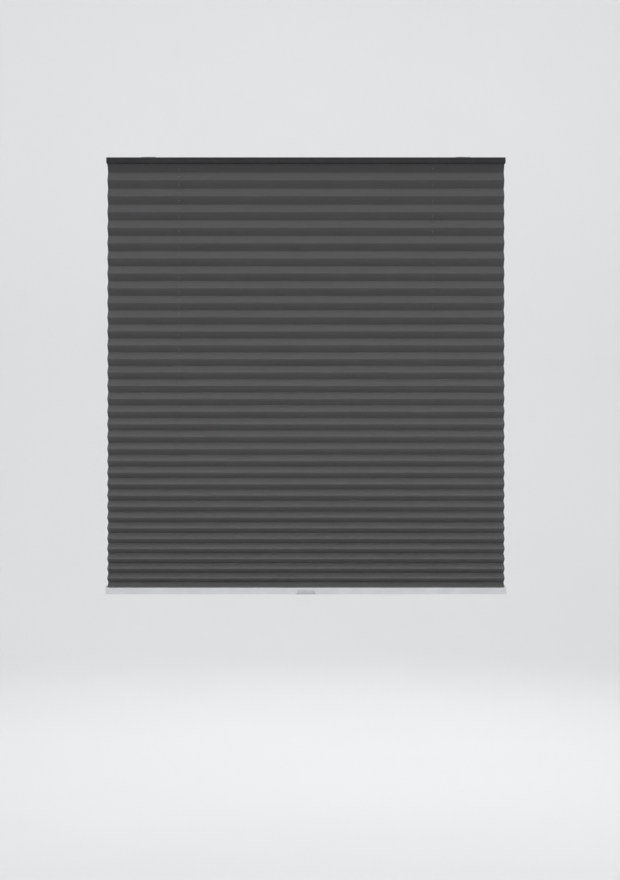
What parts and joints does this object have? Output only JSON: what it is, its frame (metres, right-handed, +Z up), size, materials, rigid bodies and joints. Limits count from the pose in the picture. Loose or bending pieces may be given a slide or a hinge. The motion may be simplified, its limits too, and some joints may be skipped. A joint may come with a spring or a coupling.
{
  "type": "pleated blind",
  "caption": "Charcoal pleated window blind with a slim dark head rail, a light bottom rail with a finger pull, and a spring lift inside it.",
  "frame": {"origin": "midway between the two clip brackets, on the upper face that is screwed to the top of the window recess", "axes": "+X to the right as seen from the room, +Y from the room towards the glass, +Z up; the fabric lies in the XZ plane and the bottom rail slides along Z"},
  "size_m": [0.84, 0.0305, 0.9169],
  "materials": {
    "dark_rail": "satin powder coat, anthracite",
    "dark_cap": "satin",
    "white_rail": "satin, light silver white",
    "white_cap": "satin",
    "handle_plastic": "satin",
    "strip_plastic": "matte",
    "pleat_cloth": "woven polyester, charcoal",
    "cord": "braided",
    "bracket_steel": "zinc plated spring steel",
    "clear_plastic": "satin",
    "motor_plastic": "satin",
    "gear_plastic": "satin",
    "screw_steel": "bright zinc",
    "spring_steel": "bright"
  },
  "bodies": {
    "head": {"head_rail": "dark_rail", "head_clamp_strip": "strip_plastic", "head_cap_left": "dark_cap", "head_cap_right": "dark_cap", "clip_bracket_left": "bracket_steel", "clip_bracket_right": "bracket_steel", "cord_anchor_left": "dark_cap", "cord_anchor_right": "dark_cap", "pleated_fabric": "pleat_cloth", "lift_cord_left": "cord", "lift_cord_right": "cord"},
    "bottom_rail": {"bottom_rail": "white_rail", "bottom_clamp_strip": "strip_plastic", "cord_grommet_left": "clear_plastic", "cord_grommet_right": "clear_plastic", "bottom_cap_left": "white_cap", "bottom_cap_right": "white_cap", "pull_handle": "handle_plastic", "cord_guide_left": "motor_plastic", "cord_guide_right": "motor_plastic", "motor_tray": "motor_plastic", "motor_cover": "motor_plastic", "cover_screws": "screw_steel", "motor_axles": "screw_steel", "lift_spring": "spring_steel"},
    "left_spool": {"cord_spool_left": "gear_plastic", "cord_winding_left": "cord"},
    "right_spool": {"cord_spool_right": "gear_plastic", "cord_winding_right": "cord"},
    "spring_drum": {"spring_drum": "gear_plastic"},
    "storage_drum": {"storage_drum": "gear_plastic"},
    "idler_gear": {"idler_gear": "gear_plastic"}
  },
  "joints": [
    {"name": "rail_slide", "type": "slide", "parent": "head", "child": "bottom_rail", "axis": [0, 0, 1], "range_m": [-0.26, 0.842], "deforming": ["pleated_fabric", "lift_cord_left", "lift_cord_right"]},
    {"name": "left_spool_spin", "type": "hinge", "parent": "bottom_rail", "child": "left_spool", "pos_m": [0.0648, 0, -0.9118], "axis": [0, 0, 1], "range_deg": [-2650, 8550]},
    {"name": "spring_drum_spin", "type": "hinge", "parent": "bottom_rail", "child": "spring_drum", "pos_m": [0.0816, 0, -0.9118], "axis": [0, 0, 1], "range_deg": [-8550, 2650]},
    {"name": "storage_drum_spin", "type": "hinge", "parent": "bottom_rail", "child": "storage_drum", "pos_m": [0.0984, 0, -0.9118], "axis": [0, 0, 1], "range_deg": [-2300, 7400]},
    {"name": "idler_gear_spin", "type": "hinge", "parent": "bottom_rail", "child": "idler_gear", "pos_m": [0.0984, 0, -0.9118], "axis": [0, 0, 1], "range_deg": [-2650, 8550]},
    {"name": "right_spool_spin", "type": "hinge", "parent": "bottom_rail", "child": "right_spool", "pos_m": [0.1152, 0, -0.9118], "axis": [0, 0, 1], "range_deg": [-8550, 2650]}
  ],
  "couplings": [
    {"joint": "left_spool_spin", "follows": "rail_slide", "rad_per_m": 176.99},
    {"joint": "spring_drum_spin", "follows": "rail_slide", "rad_per_m": -176.99},
    {"joint": "storage_drum_spin", "follows": "rail_slide", "rad_per_m": 153.13},
    {"joint": "idler_gear_spin", "follows": "rail_slide", "rad_per_m": 176.99},
    {"joint": "right_spool_spin", "follows": "rail_slide", "rad_per_m": -176.99}
  ]
}
